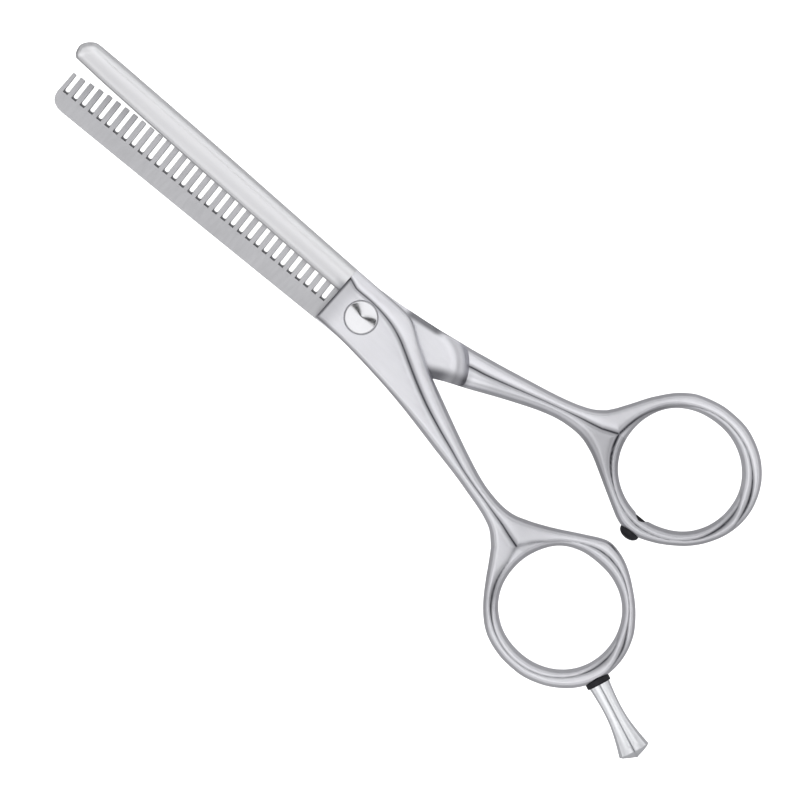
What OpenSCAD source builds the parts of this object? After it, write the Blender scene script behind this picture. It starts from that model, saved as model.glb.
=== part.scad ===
// Thinning shears, 140 mm long, lying flat.
// The pivot axis is Z, +X points to the blade tips, and the plain blade's half is held still.
// The finger half carries the plain blade and lies above the mating plane at the pivot;
// the thumb half carries the toothed blade and lies below it. Millimetres.

/* [Pivot] */
// Diameter of the pivot bolt's head
head_d = 5.8; // [5.4:0.1:6.2]
// Diameter of the bolt's shoulder, which the thumb half turns on
shoulder_d = 4; // [3.6:0.1:4.2]
// Diameter of the bolt's threaded end
thread_d = 3; // [2.6:0.1:3.2]
// Diameter of the tension nut
nut_d = 7.2; // [6.8:0.1:7.4]
// Opening of the thumb half at rest, from the pose with both blades parallel
rest_open = 3; // [2.6:0.1:6]

/* [Thickness] */
// Height of the mating plane above the tension nut's outer face
mid_z = 3; // [2.9:0.05:3.2]
// Thickness of each blade
blade_t = 1.85; // [1.6:0.05:2]
// Thickness of each half at the pivot
pad_t = 2.2; // [2.1:0.05:2.4]
// Thickness of the shanks
shank_t = 5.6; // [5:0.1:5.8]
// Thickness of the rings
ring_t = 5.2; // [4.6:0.1:5.6]

/* [Teeth] */
// Number of gaps between the teeth
gap_n = 32; // [20:1:32]
// Distance from one gap to the next
tooth_pitch = 1.83; // [1.7:0.01:1.83]
// Width of a gap
gap_w = 0.85; // [0.6:0.05:1]

/* [Rings] */
// Diameter of the finger ring's hole
finger_hole_d = 21; // [20.6:0.1:21.4]
// Diameter of the thumb ring's hole
thumb_hole_d = 21.2; // [20.8:0.1:21.6]

/* [Hidden] */
$fn = 48;

steel = "silver";
dark_steel = "darkgray";
rubber = "dimgray";
polymer = "ivory";

play = 0.05;                     // from the mating plane to each half
run_gap = 0.03;                  // radial clearance of the parts that turn
top_z = mid_z + play;            // underside of the finger half
low_z = mid_z - play;            // upper side of the thumb half
far = 40;                        // size of the blocks that cut a half apart

// Pivot stack, from the nut's outer face upwards
head_z = 4.3;                    // underside of the bolt's head
head_edge_h = 1.05;              // height of the head's straight side
head_cone_h = 0.35;              // height of the cone on the head
neck_d = 5.2;                    // double-D neck that stops the bolt turning
neck_flat = 4;                   // distance across its flats
bush_d = 5;
flange_d = 8;
flange_t = 0.28;
nut_h = 1.45;
nut_seat_z = 1.75;               // floor of the nut's counterbore in the thumb half
thread_top_z = 1.1;
bolt_end_z = 0;

// Relief beside the pivot, where each half passes over the other one
relief_r = 18;
relief_edge_r = 21;

// Rings: the centres of the holes, and the outer edge as [angle, radius] round them.
// The thumb half's places are those it has with both blades parallel.
finger_centre = [-59, 14.6];
finger_rim = [
    [0, 13], [30, 13.05], [45, 13.2], [60, 13.3], [80, 13.1], [100, 13.25], [120, 13.5],
    [140, 13.8], [150, 14], [165, 14], [180, 13.9], [200, 13.6], [215, 13.2], [232, 13],
    [242, 13.15], [252, 13.6], [262, 14.05], [272, 14.35], [279, 14.3], [286, 13.9],
    [294, 13.5], [305, 13.2], [320, 13.05], [340, 13], [360, 13],
];
thumb_centre = [-59.35, -13.8];
thumb_rim = [
    [0, 13], [30, 13], [48, 13.15], [60, 13.05], [70, 13.25], [80, 13.7], [90, 13.75],
    [100, 13.5], [110, 13.15], [125, 12.9], [145, 13.15], [165, 13.65], [180, 14],
    [195, 14.2], [212, 14.25], [232, 14.05], [250, 13.85], [268, 13.5], [280, 13.45],
    [292, 13.5], [310, 13.35], [330, 13.1], [360, 13],
];

// Shanks: pairs of points on the lower and upper edge, with the part of shank_t there
finger_stations = [
    [[-15, -0.9], [-13, 6.45], 0.8], [[-20, 1.25], [-18.5, 7.35], 0.93],
    [[-25, 3.45], [-24, 8.4], 0.98], [[-30, 5.55], [-29.2, 9.35], 1],
    [[-35, 7.25], [-34.3, 10.4], 1], [[-39, 7.95], [-38.5, 11.55], 1],
    [[-42, 7.8], [-41, 12.7], 1], [[-45, 6.8], [-43, 14.6], 1],
    [[-48, 5.4], [-44.7, 17.1], 0.98], [[-51, 3.7], [-46.7, 20.4], 0.95],
    [[-54.8, 2.8], [-50.3, 23.3], 0.86],
];
thumb_stations = [
    [[-14, -7.15], [-15.5, 0.85], 0.8], [[-19, -7.85], [-20, -1.05], 0.93],
    [[-24, -8.7], [-25, -3.2], 0.98], [[-29.3, -9.7], [-30, -5.25], 1],
    [[-34.5, -10.7], [-35, -7], 1], [[-38.5, -11.75], [-39, -7.8], 1],
    [[-41, -12.75], [-42, -7.7], 1], [[-43.3, -14.5], [-45, -6.9], 1],
    [[-45.2, -17.1], [-48, -5.3], 0.98], [[-47.2, -20.1], [-51, -3.5], 0.95],
    [[-50.8, -22.6], [-54.6, -2.4], 0.86],
];
finger_split_x = -45.4;          // where each ring ends and its shank starts
thumb_split_x = -45.7;

// Plain blade
edge_y = -0.6;                   // cutting edge
plain_spine_y = -5.45;
plain_tip_x = 67.5;
step_x = 6;                      // end of the raised pad

// Toothed blade
toothed_spine_y = 5.1;
root_y = 1.45;                   // closed end of the gaps
tips_y = -2.9;                   // free end of the teeth
toothed_tip_x = 65.3;
gap_x = 7.3;                     // middle of the first gap

// Tang, measured along its own axis from the middle of the finger ring's hole
tang_angle = 159.4;
seat_r = 13.4;
gasket_d = 4.4;
gasket_t = 1.15;
stud_r = 1.25;
stud_start = 11.6;
tang_profile = [[0, 1.9], [2, 1.72], [4.5, 1.6], [7, 1.68], [9, 1.95], [11, 2.35], [13, 2.95]];
tang_point = 14.4;
tang_base = seat_r + gasket_t;

// Bumper, on the thumb ring's corner
bumper_x = -59.2;
bumper_seat_y = -0.55;
bumper_r = 1.75;
bumper_h = 1.6;
bumper_stem_r = 0.8;
bumper_flange_r = 1.15;
bumper_flange_y = -2.5;
bumper_end_y = -3.05;

// Catmull-Rom curve through the four values a to d, at t between b and c
function curve(a, b, c, d, t) =
    0.5 * (2 * b + (c - a) * t + (2 * a - 5 * b + 4 * c - d) * t * t
        + (3 * b - a - 3 * c + d) * t * t * t);

// The same curve through a whole list, with so many steps from one entry to the next
function smooth_list(list, steps) =
    let (last = len(list) - 1)
    concat(
        [for (i = [0 : last - 1], k = [0 : steps - 1])
            curve(list[max(i - 1, 0)], list[i], list[i + 1], list[min(i + 2, last)], k / steps)],
        [list[last]]
    );

// Corner k of n on a rounded rectangle of half sizes a and b
function rounded(k, n, a, b, power) =
    let (c = cos(360 * k / n), s = sin(360 * k / n))
    [a * sign(c) * pow(abs(c), 2 / power), b * sign(s) * pow(abs(s), 2 / power)];

// Solid through a list of closed outlines with the same number of corners each
module loft(outlines, closed = false) {
    n = len(outlines[0]);
    m = len(outlines);
    walls = [
        for (i = [0 : closed ? m - 1 : m - 2], k = [0 : n - 1])
            let (j = (i + 1) % m, l = (k + 1) % n)
            each [[i * n + k, i * n + l, j * n + l], [i * n + k, j * n + l, j * n + k]]
    ];
    ends = [[for (k = [n - 1 : -1 : 0]) k], [for (k = [0 : n - 1]) (m - 1) * n + k]];
    polyhedron([for (o = outlines, p = o) p], closed ? walls : concat(walls, ends));
}

// Rounded bar between two edges, mid-height at mid_z
module shank_bar(stations) {
    n = 16;
    low = smooth_list([for (s = stations) s[0]], 2);
    high = smooth_list([for (s = stations) s[1]], 2);
    half = smooth_list([for (s = stations) s[2]], 2) * shank_t / 2;
    loft([
        for (i = [0 : len(low) - 1])
            let (middle = (low[i] + high[i]) / 2, across = (high[i] - low[i]) / 2)
            [for (k = [0 : n - 1])
                let (p = rounded(k, n, 1, half[i], 3), at = middle + p[0] * across)
                [at[0], at[1], mid_z + p[1]]]
    ]);
}

// Closed bar round a hole, a little wider inwards than the hole that is cut from it
module ring_bar(centre, hole_d, rim) {
    n = 12;
    inner = hole_d / 2 - 0.6;
    loft([
        for (angle = [0 : 6 : 354])
            let (outer = lookup(angle, rim), middle = (inner + outer) / 2)
            [for (k = [0 : n - 1])
                let (p = rounded(k, n, (outer - inner) / 2, ring_t / 2, 3), r = middle + p[0])
                [centre[0] + r * cos(angle), centre[1] + r * sin(angle), mid_z + p[1]]]
    ], true);
}

// A ring with the flared end of its shank, before its small holes are cut
module ring_blank(centre, hole_d, rim, stations, split_x) {
    difference() {
        union() {
            ring_bar(centre, hole_d, rim);
            intersection() {
                shank_bar(stations);
                translate([split_x - far, -far, -far]) cube([far, 2 * far, 2 * far]);
            }
        }
        translate([centre[0], centre[1], -1]) cylinder(d = hole_d, h = ring_t + 3, $fn = 96);
    }
}

// A shank from the pivot's pad to its ring
module shank_blank(stations, split_x) {
    difference() {
        shank_bar(stations);
        translate([split_x - far, -far, -far]) cube([far, 2 * far, 2 * far]);
    }
}

// Turns the thumb half from its parallel pose to the rest pose
module thumb_pose() {
    rotate([0, 0, rest_open]) children();
}

// Puts a shape that lies along +X on the tang's axis
module tang_pose() {
    translate([finger_centre[0], finger_centre[1], mid_z]) rotate([0, 0, tang_angle]) children();
}

// A round bar along +X
module bar_x(d, from, to) {
    translate([from, 0, 0]) rotate([0, 90, 0]) cylinder(d = d, h = to - from);
}

module double_d(d, flat, z, h) {
    translate([0, 0, z]) intersection() {
        cylinder(d = d, h = h);
        translate([-d, -flat / 2, 0]) cube([2 * d, flat, h]);
    }
}

module plain_blade() {
    blade = [
        [step_x, edge_y - 0.3], [20, edge_y - 0.1], [40, edge_y + 0.1], [60, edge_y + 0.1],
        [65.9, edge_y], [66.8, edge_y - 0.6], [plain_tip_x, -2.7], [67.1, -3.5],
        [66.2, -4.5], [64.8, -5], [55, plain_spine_y + 0.15], [40, plain_spine_y],
        [20, plain_spine_y - 0.15], [5, plain_spine_y - 0.25], [-4.5, plain_spine_y - 0.4],
        [-6.5, -5.6], [-8, -4.95], [-10, -3.7], [-12.5, -2.25], [-15, -0.9],
        [-13, 6.45], [-6, 5.6], [0, 5.2], [3, 5.1], [step_x, 5.2],
    ];
    pad = [
        [step_x, -3.9], [5, -3.3], [2, -3.1], [-1, -3.1], [-4, -2.7], [-8, -1.5],
        [-14.3, 1.6], [-13, 6.45], [-6, 5.6], [0, 5.2], [3, 5.1], [step_x, 5.2],
    ];
    color(steel) difference() {
        union() {
            translate([0, 0, top_z]) linear_extrude(blade_t) polygon(blade);
            translate([0, 0, top_z]) linear_extrude(pad_t - play) polygon(pad);
        }
        double_d(neck_d + 0.1, neck_flat + 0.1, 2, 4);
        translate([0, 0, head_z]) cylinder(d = head_d + 0.3, h = 3);
        // Grinding along the spine and along the cutting edge
        translate([8, plain_spine_y - 0.15, top_z + blade_t - 0.55]) rotate([45, 0, 0.5])
            translate([0, -2, 0]) cube([70, 2, 2]);
        translate([step_x + 0.2, edge_y - 0.1, top_z + blade_t - 0.35]) rotate([60, 0, 0.3])
            cube([70, 2, 2]);
    }
}

module finger_shank() {
    color(steel) difference() {
        shank_blank(finger_stations, finger_split_x);
        translate([0, 0, top_z - 4]) cylinder(h = 4, r1 = relief_edge_r + 0.95, r2 = relief_r);
    }
}

module finger_ring() {
    color(steel) difference() {
        ring_blank(finger_centre, finger_hole_d, finger_rim, finger_stations, finger_split_x);
        tang_pose() {
            bar_x(gasket_d + 0.2, seat_r, seat_r + 3);
            bar_x(2 * (stud_r + run_gap), stud_start - 0.1, seat_r + 1);
        }
    }
}

module tang_washer() {
    half = gasket_t / 2;
    color(rubber) tang_pose() translate([seat_r, 0, 0]) rotate([0, 90, 0]) rotate_extrude()
        polygon([
            [stud_r + 0.05, 0], [gasket_d / 2 - 0.3, 0], [gasket_d / 2, 0.3],
            [gasket_d / 2, gasket_t - 0.3], [gasket_d / 2 - 0.3, gasket_t], [stud_r + 0.05, gasket_t],
        ]);
}

module tang() {
    profile = smooth_list(tang_profile, 2);
    last = len(profile);
    points = [
        for (p = profile, k = [0 : 3]) [tang_base + p[0], p[1] * cos(90 * k), p[1] * sin(90 * k)],
        [tang_base + tang_point, 0, 0],
    ];
    walls = [
        for (i = [0 : last - 2], k = [0 : 3])
            let (l = (k + 1) % 4)
            each [[i * 4 + k, i * 4 + 4 + k, i * 4 + l], [i * 4 + l, i * 4 + 4 + k, i * 4 + 4 + l]]
    ];
    cap = [for (k = [0 : 3]) [last * 4 - 4 + k, last * 4, last * 4 - 4 + (k + 1) % 4]];
    color(steel) tang_pose() {
        union() {
            polyhedron(points, concat([[0, 1, 2, 3]], walls, cap));
            bar_x(2 * stud_r, stud_start, tang_base + 1);
        }
    }
}

module toothed_blade() {
    comb = [
        [4, toothed_spine_y], [30, toothed_spine_y - 0.1], [62.6, toothed_spine_y - 0.35],
        [63.8, toothed_spine_y - 0.5], [64.6, toothed_spine_y - 0.95],
        [65.1, toothed_spine_y - 1.7], [toothed_tip_x, toothed_spine_y - 2.6],
        [toothed_tip_x, -1.85], [63, -2.05], [60, -2.45], [57, -2.75], [53, tips_y], [4, tips_y],
    ];
    pad = [
        [step_x, toothed_spine_y], [-5, toothed_spine_y], [-6.5, 5], [-8, 4.7], [-10, 3.75],
        [-12.5, 2.45], [-15.5, 0.85], [-14, -7.15], [-10, -6.65], [-5, -6.15], [0, -5.85],
        [step_x, -5.2],
    ];
    color(dark_steel) thumb_pose() difference() {
        union() {
            translate([0, 0, low_z - blade_t]) linear_extrude(blade_t) difference() {
                polygon(comb);
                for (i = [0 : gap_n - 1]) translate([gap_x + i * tooth_pitch, 0]) {
                    translate([-gap_w / 2, tips_y - 1]) square([gap_w, root_y - tips_y + 1 - gap_w / 2]);
                    translate([0, root_y - gap_w / 2]) circle(d = gap_w, $fn = 24);
                }
            }
            translate([0, 0, mid_z - pad_t]) linear_extrude(pad_t - play) polygon(pad);
        }
        cylinder(d = bush_d, h = 4);
        translate([0, 0, top_z - 0.02 - flange_t]) cylinder(d = flange_d + 0.2, h = 1);
        cylinder(d = nut_d + 0.2, h = nut_seat_z);
    }
}

module thumb_shank() {
    color(steel) thumb_pose() difference() {
        shank_blank(thumb_stations, thumb_split_x);
        translate([0, 0, low_z]) cylinder(h = 4, r1 = relief_r, r2 = relief_edge_r + 0.95);
    }
}

// Puts a shape that stands on z = 0 on the bumper's seat, pointing out of the ring
module bumper_pose() {
    translate([bumper_x, bumper_seat_y, mid_z]) rotate([-90, 0, 0]) children();
}

module thumb_ring() {
    depth = bumper_seat_y - bumper_flange_y;
    color(steel) thumb_pose() difference() {
        ring_blank(thumb_centre, thumb_hole_d, thumb_rim, thumb_stations, thumb_split_x);
        bumper_pose() {
            cylinder(r = bumper_r + 0.1, h = 3);
            translate([0, 0, -depth - 1]) cylinder(r = bumper_stem_r, h = depth + 2);
            translate([0, 0, -depth - 2]) cylinder(r = bumper_flange_r, h = 2);
        }
    }
}

module bumper() {
    depth = bumper_seat_y - bumper_flange_y;
    end = bumper_seat_y - bumper_end_y;
    color(rubber) thumb_pose() bumper_pose() rotate_extrude() polygon([
        [0, -end], [bumper_flange_r, -end], [bumper_flange_r, -depth], [bumper_stem_r, -depth],
        [bumper_stem_r, 0], [bumper_r, 0], [bumper_r, 0.45 * bumper_h],
        [0.88 * bumper_r, 0.75 * bumper_h], [0.6 * bumper_r, 0.94 * bumper_h],
        [0.3 * bumper_r, bumper_h], [0, bumper_h],
    ]);
}

module pivot_bolt() {
    color(steel) union() {
        translate([0, 0, head_z]) cylinder(d = head_d, h = head_edge_h);
        translate([0, 0, head_z + head_edge_h])
            cylinder(d1 = head_d, d2 = 0.4, h = head_cone_h);
        double_d(neck_d, neck_flat, top_z + play, head_z - top_z);
        translate([0, 0, thread_top_z]) cylinder(d = shoulder_d, h = head_z - thread_top_z);
        translate([0, 0, bolt_end_z]) cylinder(d = thread_d, h = head_z - bolt_end_z);
    }
}

module pivot_bush() {
    color(polymer) difference() {
        union() {
            translate([0, 0, nut_seat_z]) cylinder(d = bush_d, h = mid_z - nut_seat_z);
            translate([0, 0, top_z - 0.02 - flange_t]) cylinder(d = flange_d, h = flange_t);
        }
        cylinder(r = shoulder_d / 2 + run_gap, h = 5);
    }
}

module spring_washer() {
    inner = shoulder_d / 2 + 0.15;
    outer = nut_d / 2 - 0.3;
    color(dark_steel) rotate_extrude() polygon([
        [inner, nut_seat_z - 0.24], [outer, nut_h + 0.01], [outer, nut_seat_z - 0.05],
        [inner, nut_seat_z],
    ]);
}

module tension_nut() {
    color(steel) difference() {
        cylinder(d = nut_d, h = nut_h);
        translate([0, 0, -1]) cylinder(r = thread_d / 2 + run_gap, h = 4);
        translate([0, 0, thread_top_z]) cylinder(r = shoulder_d / 2 + 0.15, h = 1);
        for (side = [-1, 1]) translate([side * 2.5, 0, -1]) cylinder(d = 1, h = 1.7);
        for (i = [0 : 17]) rotate([0, 0, i * 20 + 10])
            translate([nut_d / 2 + 0.15, 0, -1]) cylinder(d = 0.8, h = 1.7);
    }
}

plain_blade();
finger_shank();
finger_ring();
tang_washer();
tang();
toothed_blade();
thumb_shank();
thumb_ring();
bumper();
pivot_bolt();
pivot_bush();
spring_washer();
tension_nut();
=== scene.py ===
"""Thinning shears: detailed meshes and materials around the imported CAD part, and a plain studio."""
import math

import bmesh
import bpy
import numpy as np
from mathutils import Matrix, Vector


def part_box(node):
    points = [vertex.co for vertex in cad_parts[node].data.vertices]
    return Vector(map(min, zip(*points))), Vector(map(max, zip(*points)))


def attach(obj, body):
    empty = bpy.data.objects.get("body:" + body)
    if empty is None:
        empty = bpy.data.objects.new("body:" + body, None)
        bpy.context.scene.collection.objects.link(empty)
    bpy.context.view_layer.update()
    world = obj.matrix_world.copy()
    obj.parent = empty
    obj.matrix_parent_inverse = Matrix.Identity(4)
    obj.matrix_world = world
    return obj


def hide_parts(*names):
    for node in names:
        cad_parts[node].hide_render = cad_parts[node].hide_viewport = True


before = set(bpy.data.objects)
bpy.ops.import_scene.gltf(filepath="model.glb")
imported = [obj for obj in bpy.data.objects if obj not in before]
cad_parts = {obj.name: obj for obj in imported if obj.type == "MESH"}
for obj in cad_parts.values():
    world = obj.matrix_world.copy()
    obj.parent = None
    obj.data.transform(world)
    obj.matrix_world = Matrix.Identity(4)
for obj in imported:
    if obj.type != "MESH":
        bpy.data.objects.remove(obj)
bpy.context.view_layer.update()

# ---------------------------------------------------------------- places and sizes, in millimetres
MM = 0.001


def box_mm(node):
    """Lowest and highest corner of a CAD node."""
    low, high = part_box(node)
    return np.array(low) / MM, np.array(high) / MM


UNDER = box_mm("plain_blade")[0][2]             # underside of the finger half at the pivot
OVER = box_mm("toothed_blade")[1][2]            # upper side of the thumb half at the pivot
MID = (UNDER + OVER) / 2
GAP = (UNDER - OVER) / 2
PAD_TALL = box_mm("plain_blade")[1][2] - MID    # from the mating plane to the pad's outer face
BLADE_TALL = 1.9                                # the same on the blade
SHANK_TALL = box_mm("finger_shank")[1][2] - MID
RING_TALL = 2.6
HEAD_TOP = box_mm("pivot_bolt")[1][2]
OPEN = math.radians(3)                          # thumb half at rest, from both blades parallel
PAD_END = 5.95                                  # end face of the raised pad
BLADE_FROM = PAD_END + 0.02                     # where the blade's own points start
END_ROUND = 0.5                                 # rounding of that end
COVE_X = -12.5                                  # middle of the round relief beside the pivot
COVE_FLAT = 5.3                                 # radius of its flat
COVE_R = 8.9                                    # and of its upper edge

# One handle: rows of [blade-side edge, crease, pad-side edge] from the pad to the ring
FINGER_ROWS = [
    [5.95, -5.7, 5.95, -3.8, 5.95, 5.2], [4, -5.73, 4, -3.13, 4, 5.12],
    [0, -5.78, 0, -3.18, 0, 5.2], [-4.5, -5.85, -4, -2.72, -4, 5.45],
    [-6.5, -5.6, -7, -1.85, -8, 5.82], [-8.3, -4.8, -9.5, -0.7, -11, 6.15],
    [-10.3, -3.5, -12, 0.6, -13.5, 6.5], [-12.6, -2.2, -14.5, 1.87, -16, 6.88],
    [-15, -0.9, -17, 3.05, -18.5, 7.33], [-18, 0.4, -19.5, 4.1, -21, 7.8],
    [-22, 2.14, -23, 5.38, -24, 8.38], [-26, 3.86, -26.6, 6.55, -27.4, 8.98],
    [-30, 5.5, -30.2, 7.75, -30.6, 9.58], [-34, 6.95, -33.8, 8.65, -33.8, 10.3],
    [-37, 7.66, -36.8, 9.28, -36.6, 10.95], [-40, 7.97, -39.6, 9.9, -39, 11.68],
    [-42.5, 7.7, -41.8, 10.38, -41, 12.68], [-45, 6.78, -44, 11.0, -43, 14.56],
]
THUMB_ROWS = [
    [5.95, 5.1, 5.95, 3.6, 5.95, -5.2], [3, 5.1, 3, 3.0, 3, -5.5],
    [0, 5.1, 0, 2.9, 0, -5.85], [-4.5, 5.1, -4, 2.45, -4, -6.1],
    [-6.7, 4.95, -7, 1.6, -8, -6.45], [-8.3, 4.6, -9.5, 0.3, -11, -6.75],
    [-10.2, 3.65, -12, -1.1, -13.5, -7.07], [-12.6, 2.4, -14.5, -2.5, -16, -7.42],
    [-15.2, 1.0, -17, -3.85, -18.5, -7.75], [-18, -0.35, -19.7, -5.05, -21, -8.18],
    [-22, -1.92, -23, -5.75, -24, -8.68], [-26, -3.62, -26.4, -6.62, -27, -9.24],
    [-30, -5.24, -30, -7.6, -30.2, -9.85], [-34, -6.7, -33.7, -8.6, -33.6, -10.5],
    [-37.4, -7.58, -37, -9.42, -36.8, -11.25], [-40.6, -7.83, -40, -10.12, -39.4, -12.05],
    [-43, -7.56, -42.3, -10.6, -41.4, -12.95], [-45.4, -6.7, -44.3, -11.05, -43, -14.12],
]
# The crease as [x, depth, width], the same on both handles
CREASE = [
    [-47, 0.6, 0.3], [-42, 0.5, 0.23], [-37, 0.34, 0.16], [-31, 0.38, 0.17], [-24, 0.48, 0.2],
    [-16, 0.55, 0.22], [-8, 0.5, 0.26], [0, 0.34, 0.16], [6, 0.4, 0.2],
]

# Rings: the outer edge as [x, y] on the flares and [angle, radius] round the rest
FINGER_CENTRE = np.array([-59.0, 14.65])
FINGER_FLARE_PAD = [
    [-44, 16.05], [-45, 17.62], [-46, 19.22], [-48, 22.1], [-50, 24.35], [-52, 25.95],
    [-54, 26.9], [-56, 27.45], [-58, 27.72],
]
FINGER_RIM = [
    [100, 13.2], [112, 13.3], [125, 13.5], [140, 13.8], [155, 13.98], [170, 13.98], [185, 13.85],
    [200, 13.58], [212, 13.25], [225, 13.06], [238, 13.12], [250, 13.55], [260, 14.02],
    [269, 14.36],
]
FINGER_FLARE_BLADE = [
    [-57.6, 0.26], [-56, 0.84], [-54, 1.96], [-52, 3.1], [-50, 4.27], [-48, 5.36], [-46, 6.34],
]
FINGER_HOLE = [
    [0, 10.6], [30, 10.65], [60, 10.4], [85, 10.15], [110, 10.2], [145, 10.5], [180, 10.65],
    [220, 10.75], [250, 10.5], [272, 10.35], [292, 10.65], [312, 10.9], [335, 10.7], [360, 10.6],
]
THUMB_CENTRE = np.array([-59.35, -13.8])
THUMB_FLARE_BLADE = [
    [-46.4, -6.2], [-48, -5.28], [-50, -4.1], [-52, -2.92], [-54, -1.76], [-56, -0.66],
    [-57.6, -0.16],
]
THUMB_RIM = [
    [90, 13.66], [98, 13.5], [110, 13.12], [122, 12.94], [136, 13.05], [150, 13.28],
    [165, 13.66], [180, 14.0], [195, 14.19], [212, 14.24], [230, 14.08], [250, 13.82],
    [268, 13.5], [280, 13.45], [294, 13.52],
]
THUMB_FLARE_PAD = [
    [-52, -25.14], [-50, -23.5], [-48, -21.2], [-47, -19.84], [-46, -18.3], [-45, -16.8],
    [-44, -15.35],
]
THUMB_HOLE = [
    [0, 10.7], [30, 10.65], [60, 10.45], [85, 10.35], [110, 10.25], [140, 10.5], [180, 10.7],
    [205, 10.8], [245, 10.55], [272, 10.42], [292, 10.6], [318, 10.88], [340, 10.8], [360, 10.7],
]
# The grooves that part the bead round each hole from the outer lobes: [angle, radius, depth, width]
FINGER_GROOVES = [
    [
        [-13.6, 13.2, 0.4, 0.36], [-6, 12.45, 0.3, 0.4], [2, 12.0, 0.36, 0.4],
        [16, 11.95, 0.58, 0.35], [29, 11.9, 0.68, 0.33], [42, 11.9, 0.55, 0.26],
        [56, 11.85, 0.35, 0.18], [75, 11.8, 0.24, 0.15], [95, 11.75, 0.22, 0.14],
        [120, 11.75, 0.24, 0.15], [145, 11.8, 0.32, 0.17], [160, 11.8, 0.52, 0.24],
        [173, 11.75, 0.6, 0.28], [185, 11.55, 0.45, 0.24], [195, 11.2, 0.25, 0.2],
        [205, 10.8, 0.08, 0.15],
    ],
    [
        [-13.6, 13.2, 0.4, 0.36], [-20, 12.65, 0.34, 0.36], [-27, 12.3, 0.36, 0.38],
        [-40, 11.75, 0.34, 0.38], [-54, 11.75, 0.26, 0.24], [-70, 12.0, 0.28, 0.17],
        [-88, 12.3, 0.42, 0.17], [-109, 12.2, 0.36, 0.17], [-126, 12.0, 0.3, 0.17],
        [-145, 11.95, 0.32, 0.18], [-157, 12.15, 0.45, 0.22], [-170, 12.75, 0.62, 0.27],
        [-180, 13.15, 0.5, 0.24], [-189, 13.55, 0.22, 0.2], [-197, 13.9, 0.05, 0.15],
    ],
]
THUMB_GROOVES = [
    [
        [7.5, 12.25, 0.6, 0.26], [16, 12.2, 0.66, 0.3], [27, 12.1, 0.66, 0.28],
        [38, 11.9, 0.6, 0.26], [51, 11.72, 0.4, 0.2], [63, 11.72, 0.3, 0.18],
        [78, 11.85, 0.3, 0.18], [91, 12.0, 0.36, 0.2], [103, 11.95, 0.3, 0.18],
        [118, 12.0, 0.28, 0.16], [130, 12.05, 0.3, 0.17], [143, 12.08, 0.42, 0.2],
        [156, 12.03, 0.56, 0.26], [170, 11.95, 0.66, 0.3], [183, 11.8, 0.55, 0.27],
        [195, 11.4, 0.3, 0.2], [206, 10.85, 0.08, 0.15],
    ],
    [
        [7.5, 12.25, 0.6, 0.26], [-1, 11.87, 0.66, 0.28], [-11, 11.6, 0.66, 0.27],
        [-22, 11.4, 0.52, 0.26], [-34, 11.25, 0.42, 0.26], [-49, 11.2, 0.3, 0.2],
        [-65, 11.3, 0.25, 0.15], [-80, 11.45, 0.28, 0.14], [-93, 11.6, 0.3, 0.14],
        [-108, 11.8, 0.28, 0.14], [-123, 12.1, 0.28, 0.15], [-138, 12.37, 0.36, 0.18],
        [-151, 12.65, 0.5, 0.22], [-163, 12.9, 0.62, 0.26], [-175, 13.1, 0.6, 0.26],
        [-186, 13.38, 0.32, 0.2], [-196, 13.8, 0.08, 0.15],
    ],
]

# Plain blade: rows of [spine, ridge, cutting edge] from the pad to where the tip starts, and the tip
PLAIN_ROWS = [
    [6, -5.7, 6, -3.95, 6, -0.88], [20, -5.6, 20, -3.98, 20, -0.7], [40, -5.46, 40, -3.93, 40, -0.5],
    [60, -5.16, 60, -3.7, 60, -0.5],
]
PLAIN_TIP = [
    [64.4, -5.03], [65.4, -4.9], [66.2, -4.45], [66.95, -3.7], [67.4, -2.8], [67.35, -2.0],
    [67.05, -1.2], [66.45, -0.62],
]

# Toothed blade, with both blades parallel
GAP_N = 32
GAP_X = 7.3
GAP_PITCH = 1.83
GAP_W = 0.85
ROOT_Y = 1.45
COMB_LOW = MID - BLADE_TALL

# Tang and gasket, along the tang's own axis from the middle of the ring
TANG_ANGLE = math.radians(159.4)
TANG_SEAT = 13.4
GASKET_T = 1.15
GASKET_R = 2.2
TANG_BASE = TANG_SEAT + GASKET_T
TANG_PROFILE = [[0, 1.9], [2, 1.72], [4.5, 1.6], [7, 1.68], [9, 1.95], [11, 2.35], [13, 2.84]]
TANG_POINT = 14.35

# Bumper, in the thumb half's parallel pose
BUMPER_X = -59.2
BUMPER_SEAT = -0.55
BUMPER_R = 1.85
BUMPER_H = 1.6
BUMPER_STEM_R = 0.8
BUMPER_FLANGE_R = 1.4
BUMPER_FLANGE_Y = -2.5
BUMPER_END_Y = -3.3
BUMPER_OVAL = 1.7                               # how much taller its flange is than wide

# Pivot: the bolt, the hole for its head, and the tension nut
SCREW_R = 2.9
SCREW_CORNER = 0.28                             # rounding of the head's edge
SCREW_EDGE = HEAD_TOP - 0.45                    # height of that edge
SHOULDER_R = 2.0
THREAD_R = 1.5
THREAD_TOP = 1.1
HEAD_SEAT = MID + 1.3                           # floor of the hole that the head lies in
NUT_R = 3.6
NUT_TALL = 1.45
NUT_BORE_R = 1.53
NUT_NOTCHES = 18
PIN_HOLE_X = 2.5


# ---------------------------------------------------------------- curves and fields
def curve(points, steps):
    """Catmull-Rom curve through rows of numbers, with so many steps from one row to the next."""
    p = np.asarray(points, float)
    ends = np.vstack([2 * p[:1] - p[1:2], p, 2 * p[-1:] - p[-2:-1]])
    t = np.arange(steps)[:, None] / steps
    parts = []
    for a, b, c, d in zip(ends[:-3], ends[1:-2], ends[2:-1], ends[3:]):
        parts.append(
            0.5 * (2 * b + (c - a) * t + (2 * a - 5 * b + 4 * c - d) * t**2
                   + (3 * b - a - 3 * c + d) * t**3)
        )
    return np.vstack(parts + [p[-1:]])


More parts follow.
